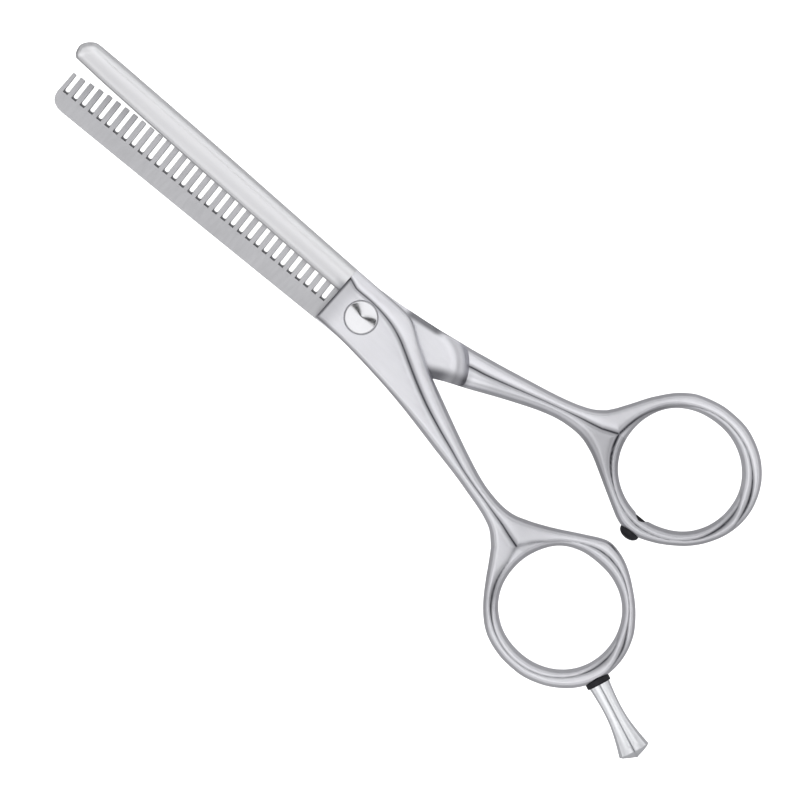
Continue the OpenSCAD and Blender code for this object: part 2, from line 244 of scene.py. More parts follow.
def polar(centre, rows):
    """Points at [angle, radius] round a centre."""
    rows = np.asarray(rows, float)
    a = np.radians(rows[:, 0])
    return centre + rows[:, 1:2] * np.column_stack([np.cos(a), np.sin(a)])


def nearest(points, line):
    """Distance from each point to a polyline, and the place on it as a fractional row number."""
    a, step = line[:-1], line[1:] - line[:-1]
    length2 = np.maximum((step**2).sum(1), 1e-12)
    distance, place = np.empty(len(points)), np.empty(len(points))
    chunk = 2000
    for i in range(0, len(points), chunk):
        px = points[i:i + chunk, None, 0] - a[None, :, 0]
        py = points[i:i + chunk, None, 1] - a[None, :, 1]
        t = np.clip((px * step[:, 0] + py * step[:, 1]) / length2, 0, 1)
        far2 = (px - t * step[:, 0]) ** 2 + (py - t * step[:, 1]) ** 2
        k = far2.argmin(1)
        rows = np.arange(len(k))
        distance[i:i + chunk] = np.sqrt(far2[rows, k])
        place[i:i + chunk] = k + t[rows, k]
    return distance, place


def step(a, b, x):
    """0 up to a, 1 from b on, and smooth between them."""
    t = np.clip((x - a) / (b - a), 0, 1)
    return t * t * (3 - 2 * t)


def mix(a, b, t):
    """From a at 0 to b at 1."""
    return a + (b - a) * t


def rounding(distance, radius, power):
    """Height of a rounded edge, from 0 at the outline to 1 where the rounding ends."""
    u = 1 - np.clip(distance / radius, 0, 1)
    return (1 - u**power) ** (1 / power)


def close_both(n):
    """Shares from 0 to 1 that crowd together at both ends."""
    return (1 - np.cos(np.pi * np.arange(n + 1) / n)) / 2


def close_end(n):
    """Shares from 0 to 1 that crowd together at the far end."""
    return np.sin(np.pi / 2 * np.arange(n + 1) / n)


# ---------------------------------------------------------------- one half of the shears
class Half:
    """The outline, grooves and heights of one half, in its own frame with both blades parallel."""

    def __init__(self, rows, pad_sign, centre, outline, hole, grooves, blade, soft_edge):
        first = curve(rows[:2], 40)[[0, 1, 2, 3, 5, 8, 12, 20, 30]]
        self.rows = np.vstack([first, curve(rows, 8)[8:]])
        self.pad_sign = pad_sign
        self.centre = centre
        self.hole_r = np.array(hole, float)
        self.blade = blade
        self.soft_edge = soft_edge
        edge_blade, crease, edge_pad = self.rows[:, 0:2], self.rows[:, 2:4], self.rows[:, 4:6]
        self.ring_edge = curve(np.vstack([outline["start"], outline["points"], outline["end"]]), 8)
        self.hole_line = polar(centre, curve(hole, 12))
        self.crease = np.vstack([crease, polar(centre, [grooves[0][0][:2]])])
        self.edge = np.vstack([edge_blade, self.ring_edge[::outline["turn"]], edge_pad[::-1]])
        if blade:
            self.edge = np.vstack([curve(PLAIN_ROWS, 6)[::-1, 0:2], self.edge])
        table = np.array(CREASE)
        self.lines = [(
            self.crease,
            np.interp(self.crease[:, 0], table[:, 0], table[:, 1]),
            np.interp(self.crease[:, 0], table[:, 0], table[:, 2]),
        )]
        for groove in grooves:
            smooth = curve(groove, 10)
            self.lines.append((polar(centre, smooth), smooth[:, 2], smooth[:, 3]))

    def crease_y(self, x):
        """Y of the crease at each x."""
        order = np.argsort(self.crease[:, 0])
        return np.interp(x, self.crease[order, 0], self.crease[order, 1])

    def groove(self, p):
        """Depth of the crease and grooves at each point."""
        depth = np.zeros(len(p))
        for line, deep, wide in self.lines:
            distance, place = nearest(p, line)
            at = np.arange(len(line))
            deep_here, wide_here = np.interp(place, at, deep), np.interp(place, at, wide)
            depth = np.maximum(depth, deep_here * np.exp(-distance / (1.75 * wide_here)))
        return depth

    def tall(self, x, pad, ring):
        """Height of the outer face before its edges are rounded."""
        blade_side = mix(BLADE_TALL, SHANK_TALL, step(2, -22, x))
        pad_side = mix(PAD_TALL, SHANK_TALL, step(-8, -24, x))
        return mix(mix(blade_side, pad_side, pad), RING_TALL, ring)

    def round_edge(self, p, pad, ring, to_edge):
        """Rounding along the outline and round the hole: 0 at the edge and 1 inside it."""
        x = p[:, 0]
        blade_side = mix(0.8, 1.6 + 0.6 * self.soft_edge, step(0, -20, x))
        pad_side = mix(1.0, 1.4, step(-8, -24, x))
        radius = mix(mix(blade_side, pad_side, pad), 1.3, ring)
        power = mix(3.0, 2.4, step(-6, -22, x))
        to_hole = nearest(p, self.hole_line)[0]
        return rounding(to_edge, radius, power) * rounding(to_hole, 1.3, 2.0)

    def facing(self, x, pad, to_edge):
        """Inner face at the pivot: flat, with eased edges on the half whose inner face shows."""
        blade_side = 0.9 * (1 - rounding(to_edge, 1.9, 2.0))
        pad_side = 0.5 * (1 - rounding(to_edge, 0.7, 2.0))
        return -GAP - self.soft_edge * step(-8, -13, x) * mix(blade_side, pad_side, pad)

    def heights(self, p):
        """Distances from the mating plane to the outer and the inner face."""
        x = p[:, 0]
        pad = step(-0.08, 0.08, self.pad_sign * (p[:, 1] - self.crease_y(x)))
        ring = step(-42, -52, x)
        to_edge = nearest(p, self.edge)[0]
        round_edge = self.round_edge(p, pad, ring, to_edge)
        groove = self.groove(p) * np.clip(round_edge * 1.4, 0, 1)
        outer = self.tall(x, pad, ring) * round_edge
        outer = mix(outer, BLADE_TALL - spine_drop(to_edge), (1 - pad) * step(-10, 6, x))
        past = np.clip(x - (PAD_END - END_ROUND), 0, END_ROUND)
        outer -= pad * (END_ROUND - np.sqrt(np.maximum(END_ROUND**2 - past**2, 0)))
        outer -= groove
        full = mix(SHANK_TALL, RING_TALL, ring) * round_edge - groove
        inner = mix(self.facing(x, pad, to_edge), full, step(-11.5, -18.5, x))
        if self.blade:
            on_blade = x > BLADE_FROM
            outer[on_blade], inner[on_blade] = plain_heights(p[on_blade])
        return np.maximum(outer, -inner), inner


def spine_drop(distance):
    """How far the outer face falls towards the spine: a narrow ground flat, then the rounding."""
    flat = 0.1 * np.clip((1.65 - distance) / 0.8, 0, 1) ** 2
    return flat + 0.45 * (1 - rounding(distance, 0.85, 2.0))


def blade_lines():
    """The plain blade's spine and its cutting edge, which meet at the tip."""
    rows = curve(PLAIN_ROWS, 12)
    tip = curve(PLAIN_TIP, 8)
    return np.vstack([rows[:, 0:2], tip[:-16]]), np.vstack([rows[:, 4:6], tip[::-1][:16]])


def plain_heights(p):
    """Outer and inner face of the plain blade."""
    rows = curve(PLAIN_ROWS, 12)
    spine, edge = blade_lines()
    narrow = mix(1.0, 0.5, step(61, 66, p[:, 0]))
    to_spine = nearest(p, spine)[0] / narrow
    to_edge = nearest(p, edge)[0]
    width = np.interp(p[:, 0], rows[:, 0], rows[:, 5] - rows[:, 3])
    face = BLADE_TALL - 0.6 * step(0, 1, 1 - np.clip(to_edge / width, 0, 1))
    outer = face - spine_drop(to_spine)
    outer = outer - 0.45 * np.clip(1 - to_edge / 0.42, 0, 1)
    hollow = 0.1 * step(0.5, 1.3, to_edge) * step(0.9, 1.9, to_spine)
    return outer, -GAP - hollow


def handle_net(half, flip):
    """The flat net of one half: points, and quads that turn anticlockwise."""
    n_low, n_mid, n_high = 26, 14, 28       # points to the crease, through the band past it, to the edge
    band = 0.335                            # that band's share of the pad side
    n_ring = 46

    def across(low, mid, edge, high=None):
        """One row of points from the blade-side edge to the pad-side edge."""
        parts = [low + (mid - low) * close_both(n_low)[:, None]]
        parts.append(mid + (edge - mid) * close_both(n_mid)[1:, None])
        if high is not None:
            parts.append(edge + (high - edge) * close_end(n_high)[1:, None])
        return np.vstack(parts)

    lines = []
    if half.blade:
        rows = curve(PLAIN_ROWS, 14)
        lines += [across(r[0:2], r[2:4], r[4:6]) for r in rows]
        base = lines[-1]
        shape = curve(PLAIN_TIP, 12)
        lengths = np.append(0, np.cumsum(np.hypot(*np.diff(shape, axis=0).T)))
        span = (base[:, 1] - base[0, 1]) / (base[-1, 1] - base[0, 1])
        tip = np.column_stack([np.interp(span * lengths[-1], lengths, shape[:, k]) for k in (0, 1)])
        lines += [mix(base, tip, t) for t in close_end(30)[1:]]
        lines = lines[::-1]
    for r in half.rows:
        low, mid, high = r[0:2], r[2:4], r[4:6]
        lines.append(across(low, mid, mid + band * (high - mid), high))
    points, quads, index = [], [], 0
    starts = []
    for line in lines:
        starts.append(index)
        points.append(line)
        index += len(line)
    for i in range(len(lines) - 1):
        n = min(len(lines[i]), len(lines[i + 1])) - 1
        a, b = starts[i], starts[i + 1]
        quads += [(a + k, a + k + 1, b + k + 1, b + k) for k in range(n)]
    # The ring: straight lines from the hole to the outer edge or to the end of the handle
    window = lines[-1] if not flip else lines[-1][::-1]
    outer = np.vstack([window, half.ring_edge[1:-1]])
    from_centre = outer - half.centre
    angle = np.degrees(np.arctan2(from_centre[:, 1], from_centre[:, 0])) % 360
    hole = polar(half.centre, np.column_stack([angle, np.interp(angle, *curve(half.hole_r, 12).T)]))
    net = hole[:, None] + (outer - hole)[:, None] * close_both(n_ring)[None, :, None]
    points.append(net.reshape(-1, 2))
    m, n = len(outer), n_ring + 1
    for i in range(m):
        a, b = index + i * n, index + (i + 1) % m * n
        quads += [(a + k, a + k + 1, b + k + 1, b + k) for k in range(n_ring)]
    points = np.vstack(points)
    quads = np.array(quads)
    if flip:
        count = sum(min(len(lines[i]), len(lines[i + 1])) - 1 for i in range(len(lines) - 1))
        quads[:count] = quads[:count, ::-1]
    merged, where = np.unique(np.round(points, 6), axis=0, return_inverse=True)
    return merged, where.reshape(-1)[quads]


def solid(name, points, quads, top, bottom):
    """Closed mesh between two heights over a flat net; where the heights meet, they share a point."""
    n = len(points)
    shared = top - bottom < 1e-4
    low = np.where(shared, np.arange(n), n + np.cumsum(~shared) - 1)
    verts = np.vstack([
        np.column_stack([points, np.where(shared, (top + bottom) / 2, top)]),
        np.column_stack([points, bottom])[~shared],
    ])
    faces = [tuple(q) for q in quads] + [tuple(low[q[::-1]]) for q in quads]
    edges = np.vstack([quads[:, [k, (k + 1) % 4]] for k in range(4)])
    present = set(map(tuple, edges))
    for a, b in edges:
        if (b, a) not in present:
            wall = [low[a], low[b], b, a]
            wall = [v for k, v in enumerate(wall) if v != wall[k - 1]]
            if len(wall) > 2:
                faces.append(tuple(wall))
    mesh = bpy.data.meshes.new(name)
    mesh.from_pydata(verts.tolist(), [], [tuple(int(v) for v in f) for f in faces])
    mesh.update()
    return link(name, mesh)


# ---------------------------------------------------------------- mesh helpers
def link(name, mesh):
    """Puts a mesh in the scene."""
    made = bpy.data.objects.new(name, mesh)
    bpy.context.scene.collection.objects.link(made)
    return made


def from_bmesh(name, bm):
    """Object of a bmesh whose faces all look outwards."""
    bmesh.ops.recalc_face_normals(bm, faces=bm.faces)
    mesh = bpy.data.meshes.new(name)
    bm.to_mesh(mesh)
    bm.free()
    return link(name, mesh)


def revolve(name, profile, segments=96):
    """Closed solid of revolution round Z from [radius, height] corners."""
    bm = bmesh.new()
    rings = []
    for k in range(segments):
        a = 2 * math.pi * k / segments
        rings.append([bm.verts.new((r * math.cos(a), r * math.sin(a), z)) for r, z in profile])
    n = len(profile)
    for k in range(segments):
        near, far = rings[k], rings[(k + 1) % segments]
        for j in range(n):
            i = (j + 1) % n
            bm.faces.new((near[j], far[j], far[i], near[i]))
    bmesh.ops.remove_doubles(bm, verts=bm.verts, dist=1e-5)
    bmesh.ops.dissolve_degenerate(bm, edges=bm.edges, dist=1e-6)
    return from_bmesh(name, bm)


def turn_mesh(piece, matrix):
    """Moves and turns the piece's points."""
    piece.data.transform(matrix)
    return piece


def join(pieces):
    """Several cutters that don't touch, as one object."""
    bm = bmesh.new()
    for piece in pieces:
        bm.from_mesh(piece.data)
        bpy.data.objects.remove(piece)
    return from_bmesh("cutters", bm)


def cut(piece, cutter):
    """Takes the cutter's shape out of the piece."""
    tool = piece.modifiers.new("cut", "BOOLEAN")
    tool.operation = "DIFFERENCE"
    tool.solver = "MANIFOLD"
    tool.object = cutter
    bpy.context.view_layer.update()
    made = bpy.data.meshes.new_from_object(piece.evaluated_get(bpy.context.evaluated_depsgraph_get()))
    piece.modifiers.clear()
    piece.data = made
    bpy.data.objects.remove(cutter)
    return piece


def finish_mesh(piece, body, nodes, material, sharp=32, pose=None):
    """Scales the piece to metres, shades it, gives it its material, puts it under its body and hides the
    CAD nodes it stands for.
    """
    if pose is not None:
        piece.data.transform(pose)
    piece.data.transform(Matrix.Scale(MM, 4))
    piece.data.shade_smooth()
    piece.data.set_sharp_from_angle(angle=math.radians(sharp))
    piece.data.materials.clear()
    piece.data.materials.append(material)
    piece.data.update()
    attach(piece, body)
    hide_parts(*nodes)
    return piece


def points_of(piece):
    """The piece's points as rows of x, y and z."""
    co = np.empty(len(piece.data.vertices) * 3)
    piece.data.vertices.foreach_get("co", co)
    return co.reshape(-1, 3)


def set_shade(piece, shade):
    """Stores how much painted shade each point has, for the material: 0 is none and 1 the darkest, as in
    a deep groove.
    """
    layer = piece.data.attributes.new("shade", "FLOAT", "POINT")
    layer.data.foreach_set("value", np.clip(shade, 0, 1).astype(np.float32))


def crease_shade(half, co, inner_side):
    """Painted shade in the creases and grooves, except where the relief has cut them away."""
    shade = np.clip((half.groove(co[:, :2]) - 0.1) / 0.5, 0, 0.78)
    from_cove = np.hypot(co[:, 0] - COVE_X, co[:, 1])
    return shade * np.where(inner_side & (co[:, 0] > -22), step(COVE_R - 0.6, COVE_R, from_cove), 1)


def relief_shade(x, to_edge, inner_side, blade_side):
    """Painted shadow in the relief where the other half lies over it, and painted shade along the
    relief's rolled outer edge.
    """
    contact_shadow = step(-10, -12.5, x) * step(-22, -20.5, x) * mix(0.65, 0.93, step(-19, -16.5, x))
    contact_shadow *= step(2.8, 1.0, to_edge)
    rolled_edge_shade = 0.8 * step(-13.5, -11.5, x) * step(-5, -6.5, x) * step(1.4, 0.6, to_edge)
    return np.where(inner_side, np.where(blade_side, contact_shadow, rolled_edge_shade), 0)


def form_shade(half, x, to_edge, inner_side, blade_side):
    """Painted shade for the steel's broad form: darker flares, lobes and pad, and none where the relief
    is ground.
    """
    flare = step(-40, -45, x) * step(-54, -48, x) * (0.14 + 0.05 * half.soft_edge * blade_side)
    pad_shade = 0.28 * step(2, 5.2, x) * step(-8, -4, x)
    pad_shade += 0.16 * step(1.3, 0.4, to_edge) * step(-30, -8, x)
    lobe = (0.07 + 0.12 * half.soft_edge) * step(-6, -14, x)
    darker_form = flare + np.where(blade_side, lobe, pad_shade)
    return darker_form * np.where(inner_side, step(-21.2, -26, x), 1)


def pad_end_shade(half, x, y):
    """Painted shade on the end of the raised pad."""
    from_crease = y * half.pad_sign
    on_pad = step(-4.2, -3.6, from_crease) * step(4.95, 4.6, from_crease)
    return 0.85 * step(PAD_END - 0.62, PAD_END - 0.22, x) * (x < BLADE_FROM) * on_pad


def blade_shade(co):
    """Painted shade on the plain blade: a little on its ground face, more along its spine and its honed
    edge.
    """
    to_spine, to_cut = (nearest(co[:, :2], line)[0] for line in blade_lines())
    face = 0.13 * step(1.3, 1.9, to_spine) + 0.3 * step(0.9, 0.5, to_spine)
    return np.maximum(face, 0.3 * step(0.42, 0.3, to_cut))


def half_shade(piece, half):
    """Painted shade: dark creases, a painted shadow in the relief, darker broad form, a dark end on the
    raised pad, and a darker ground blade.
    """
    co = points_of(piece)
    x, y = co[:, 0], co[:, 1]
    to_edge = nearest(co[:, :2], half.edge)[0]
    inner_side = (co[:, 2] - MID) * (1 if half.blade else -1) < 0.3
    blade_side = half.pad_sign * (y - half.crease_y(x)) < 0
    shade = np.maximum.reduce([
        crease_shade(half, co, inner_side),
        relief_shade(x, to_edge, inner_side, blade_side),
        form_shade(half, x, to_edge, inner_side, blade_side),
        pad_end_shade(half, x, y),
    ])
    if half.blade:
        shade = np.where(x > BLADE_FROM, blade_shade(co), shade)
    set_shade(piece, shade)


# ---------------------------------------------------------------- materials
class Nodes:
    """Short ways to build one material's nodes."""

    def __init__(self, name):
        self.material = bpy.data.materials.new(name)
        self.material.use_nodes = True
        self.tree = self.material.node_tree
        self.shader = self.tree.nodes["Principled BSDF"]
        self.place = self.tree.nodes.new("ShaderNodeTexCoord").outputs["Object"]

    def link(self, a, b):
        """Joins an output to an input."""
        self.tree.links.new(a, b)

    def noise(self, scale, detail=3.0, stretch=(1, 1, 1)):
        """Noise in the object's own space, drawn out along the axes with a small stretch."""
        mapping = self.tree.nodes.new("ShaderNodeMapping")
        mapping.inputs["Scale"].default_value = stretch
        self.link(self.place, mapping.inputs["Vector"])
        made = self.tree.nodes.new("ShaderNodeTexNoise")
        made.inputs["Scale"].default_value = scale
        made.inputs["Detail"].default_value = detail
        self.link(mapping.outputs["Vector"], made.inputs["Vector"])
        return made.outputs["Fac"]

    def span(self, value, low, high, from_low=0.3, from_high=0.7):
        """The value brought into a new range."""
        made = self.tree.nodes.new("ShaderNodeMapRange")
        made.inputs["From Min"].default_value = from_low
        made.inputs["From Max"].default_value = from_high
        made.inputs["To Min"].default_value = low
        made.inputs["To Max"].default_value = high
        self.link(value, made.inputs["Value"])
        return made.outputs["Result"]

    def colours(self, value, first, second, from_low=0.3, from_high=0.7):
        """From the first colour to the second as the value rises."""
        made = self.tree.nodes.new("ShaderNodeMix")
        made.data_type = "RGBA"
        self.link(self.span(value, 0, 1, from_low, from_high), made.inputs["Factor"])
        made.inputs["A"].default_value = (*first, 1)
        made.inputs["B"].default_value = (*second, 1)
        return made.outputs["Result"]

    def times(self, colour, other):
        """Two colours multiplied."""
        made = self.tree.nodes.new("ShaderNodeMix")
        made.data_type = "RGBA"
        made.blend_type = "MULTIPLY"
        made.inputs["Factor"].default_value = 1
        self.link(colour, made.inputs["A"])
        self.link(other, made.inputs["B"])
        return made.outputs["Result"]

    def add(self, first, second, share):
        """The first value plus a share of the second."""
        made = self.tree.nodes.new("ShaderNodeMath")
        made.operation = "MULTIPLY_ADD"
        self.link(second, made.inputs[0])
        made.inputs[1].default_value = share
        self.link(first, made.inputs[2])
        return made.outputs["Value"]

    def bump(self, height, strength, depth):
        """Fine relief on the shader's normal."""
        made = self.tree.nodes.new("ShaderNodeBump")
        made.inputs["Strength"].default_value = strength
        made.inputs["Distance"].default_value = depth
        self.link(height, made.inputs["Height"])
        self.link(made.outputs["Normal"], self.shader.inputs["Normal"])


def steel(name, light, dark, rough, brush, strength, shaded=False, shade_hollows=True, grained=0.035):
    """Ground and polished steel: fine brushing, cloudy tone, and painted shade in creases and hollows.
    """
    made = Nodes(name)
    made.shader.inputs["Metallic"].default_value = 1.0
    clouds = made.noise(160, 4)
    grain = made.noise(900, 5, brush)
    fine = made.noise(5200, 3, brush)
    colour = made.colours(clouds, dark, light)
    colour = made.times(colour, made.colours(grain, (1 - grained,) * 3, (1, 1, 1), 0.3, 0.7))
    # Painted shade: concave spots, found from pointiness, are darkened
    if shade_hollows:
        curvature = made.tree.nodes.new("ShaderNodeNewGeometry").outputs["Pointiness"]
        colour = made.times(colour, made.colours(curvature, (0.55, 0.56, 0.58), (1, 1, 1), 0.44, 0.5))
    # Painted shade, read from the mesh's shade attribute
    if shaded:
        layer = made.tree.nodes.new("ShaderNodeAttribute")
        layer.attribute_name = "shade"
        shade_colour = made.colours(layer.outputs["Fac"], (1, 1, 1), (0.12, 0.12, 0.13), 0, 1)
        colour = made.times(colour, shade_colour)
    made.link(colour, made.shader.inputs["Base Color"])
    made.link(made.span(made.add(grain, clouds, 0.5), rough - 0.04, rough + 0.06, 0.5, 1.0),
              made.shader.inputs["Roughness"])
    made.bump(made.add(grain, fine, 0.6), strength, 0.00002)
    return made.material


def rubber(name):
    """Black moulded rubber with a slight bloom."""
    made = Nodes(name)
    grain = made.noise(2600, 4)
    cloud = made.noise(500, 3)
    made.link(made.colours(cloud, (0.004, 0.004, 0.006), (0.011, 0.011, 0.016)),
              made.shader.inputs["Base Color"])
    made.link(made.span(grain, 0.38, 0.55), made.shader.inputs["Roughness"])
    made.shader.inputs["Specular IOR Level"].default_value = 0.3
    made.bump(grain, 0.25, 0.00003)
    return made.material


def polymer(name):
    """Ivory bearing polymer."""
    made = Nodes(name)
    grain = made.noise(1800, 4)
    made.link(made.colours(grain, (0.72, 0.68, 0.57), (0.82, 0.79, 0.69)),
              made.shader.inputs["Base Color"])
    made.link(made.span(grain, 0.35, 0.5), made.shader.inputs["Roughness"])
    made.bump(grain, 0.2, 0.00002)
    return made.material


HANDLE = steel("satin_handle_steel", (0.80, 0.80, 0.83), (0.765, 0.765, 0.795), 0.36,
               (0.25, 1.2, 1.2), 0.05, shaded=True, grained=0.05)
BLADE = steel("ground_blade_steel", (0.85, 0.85, 0.86), (0.81, 0.81, 0.825), 0.36,
              (0.2, 1.6, 1.6), 0.07, shaded=True, grained=0.07)
COMB = steel("brushed_comb_steel", (0.57, 0.57, 0.585), (0.52, 0.52, 0.535), 0.4,
             (1.5, 0.3, 1.5), 0.15, shaded=True, shade_hollows=False, grained=0.12)
TANG = steel("polished_tang_steel", (0.92, 0.93, 0.95), (0.91, 0.92, 0.94), 0.33,
             (1, 1, 1), 0.008, shaded=True, shade_hollows=False)
SCREW = steel("turned_screw_steel", (0.71, 0.71, 0.725), (0.69, 0.69, 0.705), 0.11,
              (1, 1, 1), 0.03)
SPRING = steel("spring_steel", (0.42, 0.42, 0.45), (0.34, 0.34, 0.37), 0.3, (1, 1, 1), 0.1)
NUT = steel("turned_nut_steel", (0.8, 0.8, 0.82), (0.74, 0.74, 0.76), 0.2, (1, 1, 1), 0.08)
RUBBER = rubber("black_moulded_rubber")
POLYMER = polymer("ivory_polymer")


# ---------------------------------------------------------------- the two halves
def build_half(name, half, above):
    """Solid of one half, its outer face up if above is true, with the round relief by the pivot."""
    points, quads = handle_net(half, flip=not above)
    outer, inner = half.heights(points)
    if above:
        made = solid(name, points, quads, MID + outer, MID - inner)
    else:
        made = solid(name, points, quads, MID + inner, MID - outer)
    side = -1 if above else 1
    flat = MID - side * GAP
    wide = COVE_R - COVE_FLAT
    wall = [(COVE_FLAT + wide * math.sin(a), flat + side * SHANK_TALL * (1 - math.cos(a)))
            for a in np.linspace(0, math.pi / 2, 25)]
    dish = [(r, flat - side * 0.03 * (1 - (r / COVE_FLAT) ** 2)) for r in np.arange(0, COVE_FLAT, 0.45)]
    profile = dish + wall + [(COVE_R, flat + side * 6), (0, flat + side * 6)]
    cove = revolve("cove", profile, 200)
    return cut(made, turn_mesh(cove, Matrix.Translation((COVE_X, 0, 0))))


def build_finger_half():
    """Plain blade, shank and ring, with the holes for the bolt's head and the tang's washer."""
    outline = {
        "start": [FINGER_ROWS[-1][4:6]],
        "points": np.vstack([FINGER_FLARE_PAD, polar(FINGER_CENTRE, FINGER_RIM), FINGER_FLARE_BLADE]),
        "end": [FINGER_ROWS[-1][0:2]],
        "turn": -1,
    }
    half = Half(FINGER_ROWS, 1, FINGER_CENTRE, outline, FINGER_HOLE, FINGER_GROOVES, True, 0)
    made = build_half("finger_half", half, True)
    pad_top = MID + PAD_TALL
    bore = [(0, MID - 1), (2.65, MID - 1), (2.65, HEAD_SEAT), (3.0, HEAD_SEAT), (3.0, pad_top - 0.06),
            (3.18, pad_top + 0.1), (3.18, MID + 4), (0, MID + 4)]
    cut(made, revolve("bore", bore, 128))
    seat = revolve("seat", [(0, TANG_SEAT), (GASKET_R + 0.1, TANG_SEAT), (GASKET_R + 0.1, TANG_SEAT + 3),
                            (0, TANG_SEAT + 3)], 64)
    cut(made, turn_mesh(seat, tang_pose() @ Matrix.Rotation(math.pi / 2, 4, "Y")))
    half_shade(made, half)
    finish_mesh(made, "finger_half", ["plain_blade", "finger_shank", "finger_ring"], HANDLE)
    made.data.materials.append(BLADE)
    for face in made.data.polygons:
        face.material_index = int(face.center.x > BLADE_FROM * MM)
    return made


def build_thumb_half():
    """Pivot pad, shank and ring of the other half, with the holes for the bush and the bumper."""
    outline = {
        "start": [THUMB_ROWS[-1][0:2]],
        "points": np.vstack([THUMB_FLARE_BLADE, polar(THUMB_CENTRE, THUMB_RIM), THUMB_FLARE_PAD]),
        "end": [THUMB_ROWS[-1][4:6]],
        "turn": 1,
    }
    half = Half(THUMB_ROWS, -1, THUMB_CENTRE, outline, THUMB_HOLE, THUMB_GROOVES, False, 1)
    made = build_half("thumb_handle", half, False)
    bore = [(0, -1), (3.7, -1), (3.7, 1.75), (2.5, 1.75), (2.5, 2.75), (4.1, 2.75), (4.1, 4), (0, 4)]
    cut(made, revolve("bore", bore, 96))
    depth = BUMPER_SEAT - BUMPER_FLANGE_Y
    hole = [(0, 3), (BUMPER_R + 0.1, 3), (BUMPER_R + 0.1, 0), (BUMPER_STEM_R, 0),
            (BUMPER_STEM_R, -depth), (BUMPER_FLANGE_R, -depth), (BUMPER_FLANGE_R, -depth - 2),
            (0, -depth - 2)]
    cut(made, turn_mesh(make_oval(revolve("hole", hole, 64), depth), bumper_pose()))
    half_shade(made, half)
    return finish_mesh(made, "thumb_half", ["thumb_shank", "thumb_ring"], HANDLE,
                       pose=thumb_pose())


def thumb_pose():
    """From both blades parallel to the thumb half at rest."""
    return Matrix.Rotation(OPEN, 4, "Z")


def tang_pose():
    """The tang's own axis, from the middle of the finger ring outwards."""
    centre = Matrix.Translation((-59, 14.6, MID))
    return centre @ Matrix.Rotation(TANG_ANGLE, 4, "Z")


def bumper_pose():
    """The bumper's own axis, out of the top of the thumb ring."""
    return Matrix.Translation((BUMPER_X, BUMPER_SEAT, MID)) @ Matrix.Rotation(-math.pi / 2, 4, "X")


def arc(cx, cy, r, start, end, n=8):
    """Points along an arc."""
    return [(cx + r * math.cos(a), cy + r * math.sin(a)) for a in np.linspace(start, end, n)]


def comb_outline():
    """Edge of the toothed blade: spine, nose, then every gap from the nose back to the pad."""
    shape = [(PAD_END, 5.1), (30, 5.0), (62.4, 4.76), (63.4, 4.66), (64.2, 4.35), (64.8, 3.85),
             (65.15, 3.2), (65.3, 2.4)]
    tips = np.array([[4, -2.9], [53, -2.9], [57, -2.75], [60, -2.45], [63, -2.05], [65.3, -1.85]])
    corner = 0.16
    bend = 0.28
    quarter = math.pi / 2
    right = 65.12
    for i in range(GAP_N - 1, -1, -1):
        middle = GAP_X + i * GAP_PITCH
        left = middle + GAP_W / 2
        tip = float(np.interp((left + right) / 2, tips[:, 0], tips[:, 1]))
        shape += arc(right - corner, tip + corner, corner, 0, -quarter, 4)
        shape += arc(left + corner, tip + corner, corner, -quarter, -2 * quarter, 4)
        shape += arc(left - bend, ROOT_Y - bend, bend, 0, quarter, 4)
        right = middle - GAP_W / 2
        shape += arc(right + bend, ROOT_Y - bend, bend, quarter, 2 * quarter, 4)
    shape += [(right, -2.9), (PAD_END, -2.9)]
    return shape


def extrude(bm, corners, along):
    """Grows one face of corners along a direction into a solid."""
    face = bm.faces.new([bm.verts.new(corner) for corner in corners])
    grown = bmesh.ops.extrude_face_region(bm, geom=[face])
    moved = [v for v in grown["geom"] if isinstance(v, bmesh.types.BMVert)]
    bmesh.ops.translate(bm, verts=moved, vec=along)


def root_ramps():
    """Cutters for the small ramp at the root of every gap."""
    half_w = 0.5
    side = [(1.1, OVER - 0.5), (1.7, OVER - 0.4), (1.92, OVER + 0.2), (1.1, OVER + 0.2)]
    ramps = []
    for i in range(GAP_N):
        x = GAP_X + i * GAP_PITCH
        bm = bmesh.new()
        extrude(bm, [(x - half_w, y, z) for y, z in side], (2 * half_w, 0, 0))
        ramps.append(from_bmesh("ramp", bm))
    return join(ramps)


def build_comb():
    """The toothed blade, with its edges just broken and a ramp at every root."""
    bm = bmesh.new()
    extrude(bm, [(x, y, COMB_LOW) for x, y in comb_outline()], (0, 0, OVER - COMB_LOW))
    bmesh.ops.recalc_face_normals(bm, faces=bm.faces)
    rims = [e for e in bm.edges if abs(e.verts[0].co.z - e.verts[1].co.z) < 1e-6
            and min(v.co.x for v in e.verts) > PAD_END - 0.01
            and max(v.co.x for v in e.verts) > PAD_END + 0.01]
    bmesh.ops.bevel(bm, geom=rims, offset=0.07, segments=2, profile=0.5, affect="EDGES")
    made = cut(from_bmesh("toothed_comb", bm), root_ramps())
    # Painted shade in the ramp at every root and on the tooth tips towards the nose
    x, y, z = points_of(made).T
    ramp = (y > 1.0) & (y < 2.0) & (z < OVER - 0.1) & (z > OVER - 0.6)
    tip = 0.3 * step(-1.6, -2.3, y) * step(50, 52, x)
    set_shade(made, np.maximum(np.where(ramp, 0.75, 0), tip))
    return finish_mesh(made, "thumb_half", ["toothed_blade"], COMB, 12,
                       pose=thumb_pose())


